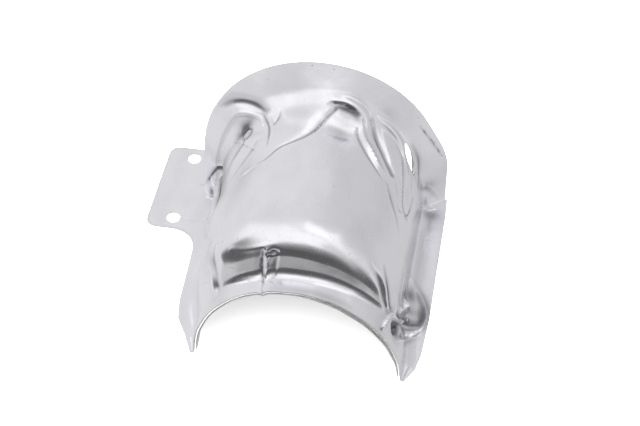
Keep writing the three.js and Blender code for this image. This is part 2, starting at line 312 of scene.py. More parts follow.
def surface_at(t, y):
    """Point and unit normal of the smooth surface, as one row of six numbers."""
    column = min(max(FIRST_ARCH + t * ARCH_COLUMNS, 0), COLUMNS - 1.001)
    j = int(column)
    both = []
    for k in (j, j + 1):
        along = np.clip(y, face[0, k, 1], face[-1, k, 1])
        data = np.concatenate([face[:, k], smooth_normals[:, k]], -1)
        both.append([np.interp(along, face[:, k, 1], data[:, m]) for m in range(6)])
    share = column - j
    return np.array(both[0]) * (1 - share) + np.array(both[1]) * share


def spline(knots, step=0.5):
    """Catmull-Rom curve through rows of numbers whose first three are a point."""
    if len(knots) == 2:
        knots = np.array([knots[0], (knots[0] + knots[1]) / 2, knots[1]])
    ends = [2 * knots[0] - knots[1], *knots, 2 * knots[-1] - knots[-2]]
    out = []
    for a, b, c, d in zip(ends, ends[1:], ends[2:], ends[3:]):
        count = max(2, int(np.linalg.norm((c - b)[:3]) / step))
        for s in np.arange(count) / count:
            out.append(0.5 * (2 * b + (c - a) * s + (2 * a - 5 * b + 4 * c - d) * s * s
                              + (3 * b - a - 3 * c + d) * s ** 3))
    out.append(knots[-1])
    return np.array(out)


def press(kind, width, *path, mask=None, onto=height):
    """Presses a line into the sheet; each path entry is (t, y, height).

    Width is one number or (left, right), seen from outside along the path. round: a soft ridge or groove.
    crease: one with a sharp middle. fold: a rise or fall on the left side only, steepest at the line.
    """
    left_width, right_width = width if isinstance(width, tuple) else (width, width)
    knots = np.array([[*surface_at(t, y), h] for t, y, h in path])
    line = spline(knots)
    points, out, heights = line[:, :3], line[:, 3:6], line[:, 6]
    ahead = np.gradient(points, axis=0)
    ahead /= np.linalg.norm(ahead, axis=1, keepdims=True)
    left = np.cross(out, ahead)
    reach = LINE_REACH * max(left_width, right_width)
    low, high = points.min(0) - reach, points.max(0) + reach
    near = np.all((face >= low) & (face <= high), axis=-1)
    spots = face[near]
    total = np.zeros(len(spots))
    for start in range(0, len(spots), BLOCK):
        block = spots[start:start + BLOCK]
        gap = block[:, None, :] - points[None]
        nearest = np.argmin((gap ** 2).sum(-1), axis=1)
        offset = gap[np.arange(len(block)), nearest]
        side = (offset * left[nearest]).sum(-1)
        past = (offset * ahead[nearest]).sum(-1)
        past[(nearest > 0) & (nearest < len(points) - 1)] = 0
        across = np.where(side > 0, left_width, right_width)
        s = side / across
        e = past / max(left_width, right_width)
        if kind == "round":
            shape = np.exp(-s ** 2 - e ** 2)
        elif kind == "crease":
            shape = np.exp(-np.abs(s) - e ** 2)
        else:
            shape = np.where(s > 0, s * np.exp(1 - s), 0) * np.exp(-e ** 2)
        total[start:start + BLOCK] = shape * heights[nearest]
    onto[near] += total * (mask[near] if mask is not None else 1)


def dent(t, y, length, width, turn, depth, onto=height):
    """An oval dent or boss: its long axis is turned from the lengthwise direction towards +X, in degrees."""
    at = surface_at(t, y)
    centre, out = at[:3], at[3:]
    forward = np.array([0.0, 1.0, 0.0])
    forward -= out * forward.dot(out)
    forward /= np.linalg.norm(forward)
    aside = np.cross(forward, out)
    angle = math.radians(turn)
    long_axis = forward * math.cos(angle) + aside * math.sin(angle)
    short_axis = aside * math.cos(angle) - forward * math.sin(angle)
    gap = face - centre
    u = gap @ long_axis / length
    v = gap @ short_axis / width
    w = gap @ out / max(length, width)
    onto += depth * np.exp(-(u * u + v * v + w * w))


def ring(t, y, t_radius, y_radius, rise):
    """Path of a small closed ring round a place."""
    return [(t + t_radius * math.cos(a), y + y_radius * math.sin(a), rise) for a in RING_ANGLES]


# A swell is a soft ridge, or a groove where its heights are negative.
swell = partial(press, "round")
crease = partial(press, "crease")

# Pleat that runs from the rear crown down to the left flank, with a raised fold behind it.
PLEAT = [(0.539, 134.1), (0.518, 128.4), (0.497, 119.5), (0.472, 112.2), (0.440, 106.4), (0.407, 101.3),
         (0.381, 93.6), (0.359, 90)]
# Heights of the fold from the flank up to the crown, and of its crease from the crown down.
PLEAT_RISE = [0.6, 0.9, 1.4, 2.2, 3.0, 3.4, 2.8, 1.2]
PLEAT_CREASE = [-0.7, -1.1, -1.1, -1.0, -0.9, -0.9, -0.6, -0.2]
PLEAT_FADE_ROWS = 26
row_numbers = np.broadcast_to(np.arange(ROWS)[:, None], height.shape)
before_neck = 1 - smoothstep(row_numbers, neck_row - PLEAT_FADE_ROWS, neck_row)
press("fold", (15, 1), *[(t, y, h) for (t, y), h in zip(reversed(PLEAT), PLEAT_RISE)], mask=before_neck)
crease((0.7, 1.1), *[(t, y, h) for (t, y), h in zip(PLEAT, PLEAT_CREASE)])
swell(1.5, (0.348, 88.2, 0.4), (0.328, 85, 0.8), (0.31, 82.4, 0.4))

# Hollow with a steep rear wall over the rear crown, where the pleat starts.
swell((3, 3.9), (0.52, 138.6, 0.5), (0.545, 139.7, 1.9), (0.575, 139.8, 2.5), (0.605, 137.8, 2.2),
      (0.63, 133.4, 0.8))
dent(0.572, 122, 10.5, 8.5, 12, -2)
crease(0.8, (0.512, 136.5, -0.3), (0.53, 137.6, -0.9), (0.56, 138, -0.8), (0.59, 137, -0.3))

# Wrinkles down the right side of the neck.
crease((1.1, 2.6), (0.612, 132, 0.8), (0.627, 123.1, 1.8), (0.651, 115.8, 2.2),
       (0.685, 107.7, 1.7), (0.709, 104.5, 0.9), (0.735, 99, 0.1))
crease(1, (0.604, 128, -0.8), (0.616, 120, -1.3), (0.645, 110.5, -1.2), (0.684, 102, -0.7),
       (0.715, 97, -0.2))
swell(2.8, (0.64, 136, -0.8), (0.672, 127, -2.4), (0.705, 119, -2.6), (0.738, 110, -1.6))
swell(1.7, (0.65, 139, 0.4), (0.699, 138.6, 1), (0.742, 136, 1.2), (0.774, 129, 1.2),
      (0.794, 121, 0.5))
crease(0.9, (0.76, 130, -0.3), (0.776, 121, -0.8), (0.788, 112, -0.9), (0.796, 103, -0.8),
       (0.804, 96.5, -0.9), (0.822, 93.5, -1.5), (0.842, 95, -1.5), (0.855, 103, -1), (0.856, 114, -0.7))
swell(2.4, (0.812, 122, 0.4), (0.82, 112, 1.1), (0.826, 104, 1.3), (0.828, 99, 0.7))
swell(1.6, (0.742, 116, 0.3), (0.762, 107, 0.9), (0.778, 100, 0.8), (0.788, 93, 0.2))
crease(1, (0.775, 91, -0.2), (0.795, 89, -0.8), (0.812, 90.5, -0.4))
swell(2, (0.72, 100, -0.3), (0.756, 90, -0.9), (0.79, 80, -0.7), (0.815, 72, -0.2))

# Fold where the right leg of the flare turns into the flange, and the narrow bend along its rim.
swell(3, (0.91, 136, -0.2), (0.94, 141, -0.9), (0.965, 145, -1.1), (0.99, 149, -0.4))
crease(0.7, (0.765, 150.2, -0.4), (0.8, 150.8, -1.1), (0.84, 151.6, -1.1), (0.868, 152.4, -0.5))

# Dimple on the left of the neck, with folds round it.
swell(2.8, (0.23, 147, -0.4), (0.262, 146, -1.3), (0.305, 141.7, -1.4), (0.351, 135.7, -0.6))
crease(0.9, (0.262, 145.6, -0.2), (0.29, 143.2, -0.6), (0.325, 138.5, -0.6), (0.351, 134, -0.2))
swell(1.3, (0.24, 141, 0.3), (0.262, 140.1, 0.9), (0.296, 137.5, 1.1), (0.33, 133, 0.8),
      (0.34, 127, 0.4))
dent(0.262, 131.5, 4.2, 5, 0, -1.9)
swell(1, *ring(0.286, 124.5, 0.012, 3, 0.7))
dent(0.286, 124.5, 1, 1, 0, 0.8)
crease(0.9, (0.335, 136.1, -0.4), (0.343, 131.5, -1), (0.358, 124.9, -1.2), (0.366, 118, -1.2),
       (0.37, 111.1, -1), (0.373, 102.3, -0.3))
swell(1.2, (0.352, 134, 0.3), (0.366, 126, 0.8), (0.377, 117, 0.8), (0.38, 108, 0.3))
crease(0.9, (0.392, 132.4, -0.4), (0.388, 127.4, -1), (0.375, 122, -0.3))
crease(0.8, (0.275, 119.5, -0.8), (0.262, 115, -0.8), (0.246, 108, -0.3))
swell(2.4, (0.33, 112, -0.5), (0.31, 102, -0.9), (0.285, 92, -0.6), (0.262, 84, -0.2))

# Crumple at the rear of the left leg.
swell((1.8, 3), (0.06, 134, -0.6), (0.11, 124, -2), (0.16, 110, -2.8), (0.195, 93, -2.8),
      (0.219, 77, -1.6), (0.196, 68, -0.5))
crease(1.2, (0.02, 137, -0.6), (0.06, 133, -1.3), (0.1, 126, -1.2), (0.14, 116, -0.9),
       (0.17, 102, -0.9), (0.2, 84, -0.6))
swell(1.5, (0.01, 134, 0.4), (0.045, 128, 1.1), (0.085, 120, 1.1), (0.125, 108, 0.7),
      (0.16, 92, 0.4))
dent(0.022, 133, 3, 2.4, 0, 1.4)

# Knot and seam across the front step.
dent(0.432, 20.7, 1.4, 3, 0, -1.6)
dent(0.414, 21.5, 1, 2, 0, 0.8)
crease(0.9, (0.404, 21.5, -0.8), (0.392, 19, -1.8), (0.386, 16, -1.4), (0.391, 9, -0.5),
       (0.397, 3.5, -0.5))
swell(1.1, (0.424, 21.5, 0.4), (0.41, 19, 1.2), (0.404, 16, 1), (0.404, 12, 0.3))
swell(1.4, (0.446, 20.5, -0.4), (0.428, 17.5, -0.9), (0.424, 14, -0.6))
swell(1.8, (0.3, 25, 0.2), (0.35, 23, 0.5), (0.4, 22.8, 0.6), (0.44, 23.6, 0.2))

# Soft fold that ends the front bulge on the left.
swell(2, (0.236, 38, -0.2), (0.214, 30, -0.6), (0.212, 22, -0.7), (0.224, 13, -0.3))
swell(2, (0.2, 40, 0.2), (0.186, 28, 0.6), (0.192, 19, 0.7), (0.212, 11, 0.3))

# Rounded end of the front bulge on the right, creased in arcs.
swell(1.6, (0.74, 31, -0.2), (0.775, 26.4, -0.9), (0.8, 22, -1), (0.81, 17, -0.4))
crease(0.9, (0.79, 36, -0.2), (0.82, 30, -0.8), (0.838, 22.5, -0.8), (0.838, 17, -0.2))
swell(1.4, (0.77, 33, 0.2), (0.802, 27, 0.8), (0.82, 20, 0.6))

# Folded pocket and boss over the front of the right foot.
crease(1.1, (0.88, 27, 1), (0.85, 20, 2), (0.815, 15.5, 2.6), (0.8, 10.5, 2.2),
       (0.792, 5, 0.8))
dent(0.862, 14, 4.4, 3.6, 0, -4.2)
dent(0.905, 25, 3.4, 3.2, 0, -2.6)
swell(1.2, (0.835, 18.5, 0.8), (0.89, 21.5, 2), (0.935, 26.5, 2.2), (1.0, 36, 1.8),
      (1.025, 41.3, 1))
dent(1.006, 53.4, 4, 3.4, 0, 4.2)
dent(0.93, 33, 2, 1.8, 0, 2.2)
crease((1, 2.6), (1.012, 80, 0.4), (1.04, 66, 1.4), (1.058, 52, 1.8), (1.04, 40, 2.2),
       (1.012, 31, 2.6), (0.95, 18, 2.2), (0.89, 9, 0.8))
swell(2.2, (1.016, 46, -1), (0.985, 33, -2.4), (0.935, 19, -2.4), (0.89, 11, -0.8))
crease(1, (0.905, 62, -0.2), (0.925, 50, -0.9), (0.95, 42, -1), (0.985, 38, -0.3))

# Broad, shallow unevenness of handled sheet, weaker near the floor. Each wave is its two frequencies per
# millimetre of the grid's mean pitch, its shift and its height.
WAVES = [(0.011, 0.023, 0.3, 0.16), (0.032, 0.013, 1.1, 0.08), (0.047, 0.031, 2.3, 0.03)]
GRID_PITCH = 0.8
FREE_HEIGHT = 10.0
LEAST_FREEDOM = 0.15
across = 2 * math.pi * GRID_PITCH * np.arange(COLUMNS)[None, :]
along = 2 * math.pi * GRID_PITCH * np.arange(ROWS)[:, None]
freedom = np.clip((face[..., 2] - SHEET) / FREE_HEIGHT, LEAST_FREEDOM, 1)
for fx, fy, shift, size in WAVES:
    wave = np.sin(fx * across + fy * along + 2 * math.pi * shift) * np.sin(fy * across - fx * along)
    height += size * freedom * wave


def bend_of(heights, reach):
    """How far each place lies below the mean of its surroundings, which is positive in grooves."""
    total = np.zeros_like(heights)
    for dr, dc in ((reach, 0), (-reach, 0), (0, reach), (0, -reach)):
        r = np.clip(np.arange(ROWS) + dr, 0, ROWS - 1)
        c = np.clip(np.arange(COLUMNS) + dc, 0, COLUMNS - 1)
        total += heights[r][:, c]
    return total / 4 - heights


BEND_WEIGHTS = {1: 1.0, 3: 0.5, 7: 0.15}
bend = sum(weight * bend_of(height, reach) for reach, weight in BEND_WEIGHTS.items())

# Painted shade in the deeper hollows, creases and pockets, from 0 to 1: darkening laid into the colour where
# shade and dark reflections fall.
dirt = np.zeros_like(height)
shade_line = partial(press, "round", onto=dirt)
shade_crease = partial(press, "crease", onto=dirt)
shade_spot = partial(dent, onto=dirt)
shade_line((8, 4), (0.09, 132, 0.2), (0.16, 113, 0.7), (0.2, 92, 0.9), (0.216, 79, 0.7))
shade_crease(1.6, (0.01, 138, 0.5), (0.06, 133, 0.7), (0.12, 118, 0.7), (0.19, 92, 0.5))
shade_line(1.8, (0.236, 147, 0.2), (0.28, 144.4, 0.5), (0.32, 139.5, 0.45), (0.356, 134, 0.15))
shade_spot(0.266, 131.5, 4.4, 9, -20, 1)
shade_line(1, *ring(0.286, 124.5, 0.016, 4.2, 0.7))
shade_line(2.6, (0.262, 117, 0.2), (0.24, 108, 0.3), (0.23, 98, 0.1))
shade_crease(1.2, (0.786, 142, 0.2), (0.832, 140.6, 0.75), (0.868, 135, 0.8), (0.872, 127, 0.3))
shade_spot(0.318, 76, 16, 9, 0, 0.16)
shade_line(2.4, (0.53, 136.6, 0.4), (0.556, 136.6, 0.9), (0.59, 135.6, 0.8), (0.615, 131.6, 0.3))
shade_spot(-0.008, 131.5, 3.2, 2.4, 0, 0.85)
shade_spot(0.213, 27, 4.5, 3.6, 0, 0.4)
shade_spot(0.184, 35, 8, 4, 0, 0.2)
shade_line(1.6, (0.825, 90.5, 0.4), (0.84, 92, 0.4))
shade_spot(0.95, 144, 6, 4.5, 30, 0.45)
shade_spot(0.868, 14, 5.5, 4.6, 0, 1.2)
shade_spot(0.905, 24.5, 4.5, 3.8, 0, 0.9)
shade_line(4, (1.04, 66, 0.3), (1.046, 56, 0.8), (1.036, 46, 0.9), (1.01, 38, 0.7))
shade_spot(0.975, 41, 5, 3.4, 0, 0.6)
shade_spot(1.015, 66, 6, 3.6, 0, 0.7)
# A negative spot clears the painted shade off the top of the boss, so it reads lighter: a painted highlight.
shade_spot(1.006, 53.4, 3.6, 3, 0, -0.9)
shade_spot(0.428, 20, 1.8, 3.4, 0, 0.6)
shade_line(1.3, (0.79, 38, 0.2), (0.822, 30, 0.5), (0.842, 22, 0.4))
shade_line(4, (1.028, 132, 0.1), (1.03, 110, 0.26), (1.03, 85, 0.3), (1.03, 66, 0.25))
shade_spot(1.03, 138.5, 4.5, 6, 20, 0.6)
shade_line(2.6, (0.43, 5.5, 0.15), (0.52, 5, 0.28), (0.6, 5, 0.24), (0.66, 5, 0.1))
np.clip(dirt, 0, 1, out=dirt)

pressed = face + smooth_normals * height[..., None]
pressed[..., 2] = np.maximum(pressed[..., 2], SHEET)


# ---------- closed sheets ----------

EDGE_ROUND = 0.18
SHARP_ANGLE = math.radians(42)


def new_object(name, data):
    obj = bpy.data.objects.new(name, data)
    bpy.context.scene.collection.objects.link(obj)
    return obj


def add_marks(mesh, **marks):
    """Stores one number per vertex under each name, for the materials."""
    for name, numbers in marks.items():
        mesh.attributes.new(name, "FLOAT", "POINT").data.foreach_set("value", numbers)


class Sheet:
    """A thin closed sheet: an outer face given by points and normals, and its underside."""

    def __init__(self, points, normals, faces):
        self.points, self.normals, self.faces = points, normals, faces

    def border(self):
        """Directed edges that only one face uses."""
        edges = dict.fromkeys(edge for f in self.faces for edge in zip(f, f[1:] + f[:1]))
        return [(a, b) for a, b in edges if (b, a) not in edges]

    def build(self, name, depths, material, marks, edge_round=EDGE_ROUND, under_faces=None):
        """The mesh object between two depths. Marks are the bend and the painted shade at each point."""
        used = sorted({v for f in self.faces for v in f})
        renumber = {v: i for i, v in enumerate(used)}
        points, normals = self.points[used], self.normals[used]
        bends, dirts = (mark[used] for mark in marks)
        under = [[renumber[v] for v in f] for f in (under_faces or self.faces)]
        self.faces = [[renumber[v] for v in f] for f in self.faces]
        count = len(points)
        rim = self.border()
        outward = np.zeros((count, 3))
        for a, b in rim:
            away = np.cross(points[b] - points[a], normals[a])
            for v in (a, b):
                outward[v] += away
        rim_verts = sorted({v for edge in rim for v in edge})
        lengths = np.linalg.norm(outward[rim_verts], axis=1, keepdims=True)
        away = outward[rim_verts] / np.maximum(lengths, 1e-9)
        below = sorted({v for f in under for v in f} | set(rim_verts))
        top = points - normals * depths[0]
        bottom = points[below] - normals[below] * depths[1]
        between = points[rim_verts] - normals[rim_verts] * sum(depths) / 2 + away * edge_round
        low_number = {v: count + i for i, v in enumerate(below)}
        middle_number = {v: count + len(below) + i for i, v in enumerate(rim_verts)}
        verts = np.concatenate([top, bottom, between])
        everything = list(self.faces)
        everything += [[low_number[v] for v in reversed(f)] for f in under]
        for a, b in rim:
            everything.append([b, a, middle_number[a], middle_number[b]])
            everything.append([middle_number[b], middle_number[a], low_number[a], low_number[b]])
        mesh = bpy.data.meshes.new(name)
        mesh.from_pydata(to_row(verts).tolist(), [], everything)
        mesh.materials.append(material)
        mesh.polygons.foreach_set("use_smooth", [True] * len(mesh.polygons))
        is_rim = np.zeros(count)
        is_rim[rim_verts] = 1
        # The painted shade goes on the outer face and the cut rim; the hidden underside gets none.
        add_marks(mesh,
                  bend=np.concatenate([bends, -bends[below], 0 * bends[rim_verts]]),
                  dirt=np.concatenate([dirts, 0 * dirts[below], dirts[rim_verts]]),
                  rim=np.concatenate([is_rim, is_rim[below], is_rim[rim_verts]]))
        mesh.set_sharp_from_angle(angle=SHARP_ANGLE)
        return new_object(name, mesh)


def paired_cells(quads):
    """The same block of grid faces with each two by two of them joined, for the hidden underside."""
    present = np.zeros((ROWS + 1, COLUMNS + 1), bool)
    present[quads[:, 0] // COLUMNS, quads[:, 0] % COLUMNS] = True
    even = present[:ROWS - 1 - (ROWS - 1) % 2, :COLUMNS - 1 - (COLUMNS - 1) % 2]
    whole = even[::2, ::2] & even[1::2, ::2] & even[::2, 1::2] & even[1::2, 1::2]
    joined = np.pad(whole, 1)
    out = []
    corners = (0, 2, 2 + 2 * COLUMNS, 2 * COLUMNS)
    middles = (1, 2 + COLUMNS, 1 + 2 * COLUMNS, COLUMNS)
    for i, j in np.argwhere(whole):
        first = int(2 * i * COLUMNS + 2 * j)
        beside = (joined[i, j + 1], joined[i + 1, j + 2], joined[i + 2, j + 1], joined[i + 1, j])
        loop = []
        for corner, middle, is_joined in zip(corners, middles, beside):
            loop += [first + corner] if is_joined else [first + corner, first + middle]
        out.append(loop)
    r, c = quads[:, 0] // COLUMNS, quads[:, 0] % COLUMNS
    padded = np.pad(whole, ((0, 2), (0, 2)))
    alone = quads[~padded[r // 2, c // 2]]
    return out + alone.tolist()


def grid_sheet(rows, columns, step=1):
    """Faces of a block of the grid, as indices into the flattened grid."""
    r, c = (np.append(np.arange(first, last, step), last) for first, last in (rows, columns))
    index = r[:, None] * COLUMNS + c[None, :]
    return np.stack([index[:-1, :-1], index[:-1, 1:], index[1:, 1:], index[1:, :-1]], -1).reshape(-1, 4)


# ---------- slot in the right side of the neck ----------

# A lens between two ends in the design frame; the cut reaches this far in and out.
SLOT_ENDS = np.array([[44.4, 139.3, 61.4], [53.3, 129.5, 39.9]])
SLOT_OUTWARD = np.array([0.8, -0.3, 0.45])
SLOT_WIDTH = 6.4
SLOT_REACH = 12.0
SLOT_FULLNESS = 0.7


def cut_slot(points, quads, margin=0.0):
    """Drops the faces inside the lens and moves the border of the gap onto the lens's outline."""
    centre = SLOT_ENDS.mean(0)
    lengthwise = SLOT_ENDS[1] - SLOT_ENDS[0]
    half = np.linalg.norm(lengthwise) / 2
    lengthwise /= 2 * half
    half += margin
    out = SLOT_OUTWARD - lengthwise * SLOT_OUTWARD.dot(lengthwise)
    out /= np.linalg.norm(out)
    across = np.cross(out, lengthwise)
    gap = points - centre
    along, aside = gap @ lengthwise, gap @ across

    def lens(position):
        return (SLOT_WIDTH / 2 + margin) * np.clip(1 - (position / half) ** 2, 0, None) ** SLOT_FULLNESS

    middle = points[quads].mean(1) - centre
    inside = (np.abs(middle @ across) < lens(middle @ lengthwise)) & (np.abs(middle @ out) < SLOT_REACH)
    kept = quads[~inside]
    rim = np.intersect1d(np.unique(quads[inside]), np.unique(kept))
    rim = rim[np.abs(along[rim]) < half]
    moved = points.copy()
    edge = np.sign(aside[rim]) * lens(along[rim])
    moved[rim] += (edge - aside[rim])[:, None] * across
    return moved, kept


# ---------- bolt tab ----------

# Spacing of the points inside the tab, points round each hole, and a wider ring of points about it.
TAB_SPACING = 2.5
TAB_LATTICE_FRONT = TAB["front"] - 18
HOLE_POINTS = 40
HOLE_RING = 1.15
EDGE_CLEARANCE = 0.6 * TAB_SPACING
HOLE_CLEARANCE = 0.7 * TAB_SPACING


def bezier(*controls, count=10):
    """Points of a quadratic curve, without its first control point."""
    s = np.linspace(0, 1, count + 1)[1:, None]
    a, b, c = (np.array(p, float) for p in controls)
    return ((1 - s) ** 2 * a + 2 * s * (1 - s) * b + s * s * c).tolist()


def tab_outline(front_join, rear_join):
    """Plan outline of the tab from its front join with the flange round to the rear one."""
    outer, front, rear, corner, inner, small = TAB.values()
    x, y = front_join
    line = bezier((x, y), (x - corner / 4, front - corner / 4), (x - 2 * corner, front), count=14)
    line += [[outer + corner + (x - 3 * corner - outer) * s, front] for s in (0.75, 0.5, 0.25)]
    line += [[outer + corner, front]]
    line += bezier((outer + corner, front), (outer, front), (outer, front + corner))
    straight = rear - front - 2 * corner
    line += [[outer, front + corner + straight * s] for s in shares(20)]
    line += bezier((outer, rear - corner), (outer, rear), (outer + corner, rear))
    line += [[outer + corner + (inner - small - outer - corner) * s, rear] for s in shares(8)]
    line += bezier((inner - small, rear), (inner, rear), (inner, rear - small), count=6)
    line += [[inner, rear - small + (TAB_RELIEF_Y - rear + small) * s] for s in shares(8)]
    x_end, y_end = rear_join
    line += [[inner - 1.5, y_end + 1.0], [x_end + 2.0, y_end + 0.2]]
    return line


def inside_polygon(points, polygon):
    """Whether each point lies inside the polygon."""
    x, y = points[:, 0], points[:, 1]
    inside = np.zeros(len(points), bool)
    for (xa, ya), (xb, yb) in zip(polygon, polygon[1:] + polygon[:1]):
        crossing = (ya > y) != (yb > y)
        with np.errstate(divide="ignore", invalid="ignore"):
            cut = xa + (y - ya) * (xb - xa) / (yb - ya)
        inside ^= crossing & (x < cut)
    return inside


def tab_faces(points, normals, quads):
    """Adds the tab's outer face to the hood's, sharing the vertices of the flange's left edge."""
    edge_y = pressed[:, 0, 1]
    rows = [r for r in range(ROWS) if TAB["front"] - 2 * TAB["corner"] <= edge_y[r]
            and face[r, 0, 1] <= TAB_RELIEF_Y - TAB["inner_corner"]]
    join = [r * COLUMNS for r in rows]
    polygon = [points[v, :2].tolist() for v in reversed(join)]
    polygon += tab_outline(points[join[0], :2], points[join[-1], :2])
    turn = np.linspace(0, 2 * math.pi, HOLE_POINTS + 1)[:-1]
    holes = [[[cx + BOLT_HOLE_RADIUS * math.cos(a), cy + BOLT_HOLE_RADIUS * math.sin(a)] for a in turn]
             for cx, cy in BOLT_HOLES]
    rings = [[[cx + (x - cx) * HOLE_RING, cy + (y - cy) * HOLE_RING] for x, y in hole]
             for hole, (cx, cy) in zip(holes, BOLT_HOLES)]

    # A staggered lattice fills the outline, clear of its edge and of the holes.
    outline_points = np.array(polygon)
    last_x, last_y = outline_points.max(0)
    xs = np.arange(TAB["outer"], last_x, TAB_SPACING)
    ys = np.arange(TAB_LATTICE_FRONT, last_y, TAB_SPACING)
    lattice = np.array([[x + (TAB_SPACING / 2 if j % 2 else 0), y] for j, y in enumerate(ys) for x in xs])
    inside = inside_polygon(lattice, polygon)
    inside &= np.linalg.norm(lattice[:, None] - outline_points[None], axis=-1).min(1) > EDGE_CLEARANCE
    for centre in BOLT_HOLES:
        inside &= np.linalg.norm(lattice - centre, axis=-1) > BOLT_HOLE_RADIUS + HOLE_CLEARANCE

    plan_points = polygon + [p for loop in holes + rings for p in loop] + lattice[inside].tolist()
    edges = []
    start = 0
    for loop in [polygon] + holes:
        edges += [(start + i, start + (i + 1) % len(loop)) for i in range(len(loop))]
        start += len(loop)
    result = delaunay_2d_cdt([Vector(p) for p in plan_points], edges, [], 0, 1e-6, True)
    out_points, out_faces, origins = result[0], result[2], result[3]
    plan = np.array([tuple(p) for p in out_points])
    middles = np.array([plan[list(f)].mean(0) for f in out_faces])
    keep = inside_polygon(middles, polygon)
    for hole in holes:
        keep &= ~inside_polygon(middles, hole)

    # The points along the flange's edge are the hood's own; all others are new.
    number = []
    for i, origin in enumerate(origins):
        first = min(origin, default=-1)
        number.append(join[-1 - first] if 0 <= first < len(join) else len(points) + i)
    triangles = []
    for (a, b, c), kept in zip(out_faces, keep):
        if kept:
            turned = np.cross(plan[b] - plan[a], plan[c] - plan[a]) > 0
            triangles.append([number[i] for i in ((a, b, c) if turned else (a, c, b))])
    new_points = np.column_stack([plan, np.full(len(plan), SHEET)])
    points = np.concatenate([points, new_points])
    normals = np.concatenate([normals, np.tile([0.0, 0.0, 1.0], (len(new_points), 1))])
    return points, normals, quads.tolist() + triangles


# ---------- materials ----------

class Graph:
    """Small helper for node trees."""

    def __init__(self, tree):
        self.tree = tree

    def node(self, kind, **settings):
        node = self.tree.nodes.new(kind)
        for key, value in settings.items():
            setattr(node, key, value)
        return node

    def join(self, source, socket):
        if hasattr(source, "is_output"):
            self.tree.links.new(source, socket)
        else:
            socket.default_value = source

    def fed(self, kind, inputs, **settings):
        """Outputs of a new node whose inputs are joined in their order."""
        node = self.node(kind, **settings)
        for value, socket in zip(inputs, node.inputs):
            self.join(value, socket)
        return node.outputs

    def math(self, operation, *inputs, clamp=False):
        return self.fed("ShaderNodeMath", inputs, operation=operation, use_clamp=clamp)[0]

    def weighted(self, start, terms, clamp=False):
        """Start plus each of the terms' values times its weight."""
        for i, (value, weight) in enumerate(terms, 1):
            start = self.math("MULTIPLY_ADD", value, weight, start, clamp=clamp and i == len(terms))
        return start

    def dot(self, *inputs):
        return self.fed("ShaderNodeVectorMath", inputs, operation="DOT_PRODUCT")["Value"]

    def noise(self, where, scale, stretch=(1, 1, 1), turn=0.0, detail=3.0, shift=0.0):
        """Noise between 0 and 1, scale waves per metre, stretched along the axes and turned about Z."""
        mapping = self.node("ShaderNodeMapping")
        self.join(where, mapping.inputs["Vector"])
        mapping.inputs["Location"].default_value = (shift, shift * 0.7, shift * 0.3)
        mapping.inputs["Rotation"].default_value = (0, 0, turn)
        mapping.inputs["Scale"].default_value = stretch
        noise = self.node("ShaderNodeTexNoise")
        self.join(mapping.outputs[0], noise.inputs["Vector"])
        noise.inputs["Scale"].default_value = scale
        noise.inputs["Detail"].default_value = detail
        return noise.outputs["Fac"]

    def ramp(self, value, low, high, start=0.0, end=1.0):
        """Value between low and high spread over start to end, and held at the ends."""
        node = self.node("ShaderNodeMapRange")
        self.join(value, node.inputs["Value"])
        for socket, number in zip(("From Min", "From Max", "To Min", "To Max"), (low, high, start, end)):
            node.inputs[socket].default_value = number
        return node.outputs[0]

    def blend(self, share, a, b, colors=True):
        """Colour or number a where share is 0 and b where it is 1."""
        node = self.node("ShaderNodeMix", data_type="RGBA" if colors else "FLOAT")
        first = 6 if colors else 2
        self.join(share, node.inputs[0])
        self.join(a, node.inputs[first])
        self.join(b, node.inputs[first + 1])
        return node.outputs[2 if colors else 0]

    def bump(self, relief, distance):
        """Normal bent by the relief, one unit of which is distance metres high."""
        node = self.node("ShaderNodeBump")
        self.join(relief, node.inputs["Height"])
        node.inputs["Distance"].default_value = distance
        return node.outputs[0]

    def attribute(self, name):
        return self.node("ShaderNodeAttribute", attribute_name=name).outputs["Fac"]

    def window(self, value, half, soft):
        """1 up to half on either side of zero, falling to 0 over a soft margin outside."""
        node = self.node("ShaderNodeMapRange", interpolation_type="SMOOTHSTEP")
        self.join(self.math("ABSOLUTE", value), node.inputs["Value"])
        node.inputs["From Min"].default_value = half + soft
        node.inputs["From Max"].default_value = half
        return node.outputs[0]


METAL_RELIEF = 0.00022
FELT_RELIEF = 0.0004


def new_material(name):
    """A new material, the helper for its node tree, and its shader."""
    material = bpy.data.materials.new(name)
    material.use_nodes = True
    graph = Graph(material.node_tree)
    return material, graph, graph.tree.nodes["Principled BSDF"]


